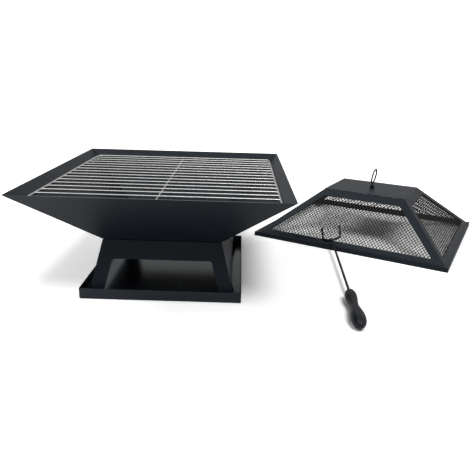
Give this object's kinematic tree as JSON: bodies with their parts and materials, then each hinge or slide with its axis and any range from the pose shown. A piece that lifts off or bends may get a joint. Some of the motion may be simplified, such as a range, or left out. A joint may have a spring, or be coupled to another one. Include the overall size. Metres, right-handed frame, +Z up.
{
  "type": "fire pit with grate",
  "caption": "Sheet-steel fire pit, a little longer than wide: splayed stand in an ash tray, flared bowl, wire grate, low mesh lid with a lifting eye, and a two-pronged poker.",
  "frame": {"origin": "centre of the ash tray's underside, on the ground", "axes": "+Z up; +X to the right of the pit, towards the lid, which lies on the ground beside and behind it; +Y from front to back"},
  "size_m": [1.0079, 0.8685, 0.206],
  "materials": {
    "black_paint": "semi-gloss heat-resistant black paint on sheet steel",
    "chrome_wire": "chromed wire, slightly dulled",
    "zinc_steel": "zinc-plated fasteners",
    "dark_mesh": "satin black paint on expanded metal",
    "dark_steel": "satin black coated steel rod",
    "black_plastic": "moulded black plastic, fine grain"
  },
  "bodies": {
    "tray": {"ash_tray": "black_paint"},
    "fire_bowl": {"stand_panel_front": "black_paint", "stand_panel_right": "black_paint", "stand_panel_back": "black_paint", "stand_panel_left": "black_paint", "bowl": "black_paint", "bowl_bolts": "zinc_steel", "bowl_washers": "zinc_steel", "bowl_nuts": "zinc_steel"},
    "grate": {"grate_frame": "chrome_wire", "grate_bars": "chrome_wire", "grate_centre_bar": "chrome_wire"},
    "lid": {"lid_frame_front": "black_paint", "lid_frame_right": "black_paint", "lid_frame_back": "black_paint", "lid_frame_left": "black_paint", "lid_mesh_front": "dark_mesh", "lid_mesh_right": "dark_mesh", "lid_mesh_back": "dark_mesh", "lid_mesh_left": "dark_mesh", "lid_top_plate": "black_paint", "lid_eye": "dark_steel", "lid_eye_washer": "dark_steel", "lid_eye_nut": "dark_steel", "lid_eye_lock_nut": "dark_steel"},
    "poker": {"poker_fork": "dark_steel", "poker_rod": "dark_steel", "poker_handle": "black_plastic"}
  },
  "joints": [
    {"name": "bowl_lift", "type": "slide", "parent": "tray", "child": "fire_bowl", "axis": [0, 0, 1], "range_m": [0, 0.15]},
    {"name": "grate_lift", "type": "slide", "parent": "fire_bowl", "child": "grate", "axis": [0, 0, 1], "range_m": [0, 0.15]},
    {"name": "lid_lift", "type": "slide", "parent": "tray", "child": "lid", "axis": [0, 0, 1], "range_m": [0, 0.15]},
    {"name": "poker_lift", "type": "slide", "parent": "lid", "child": "poker", "axis": [0, 0, 1], "range_m": [0, 0.2]}
  ]
}
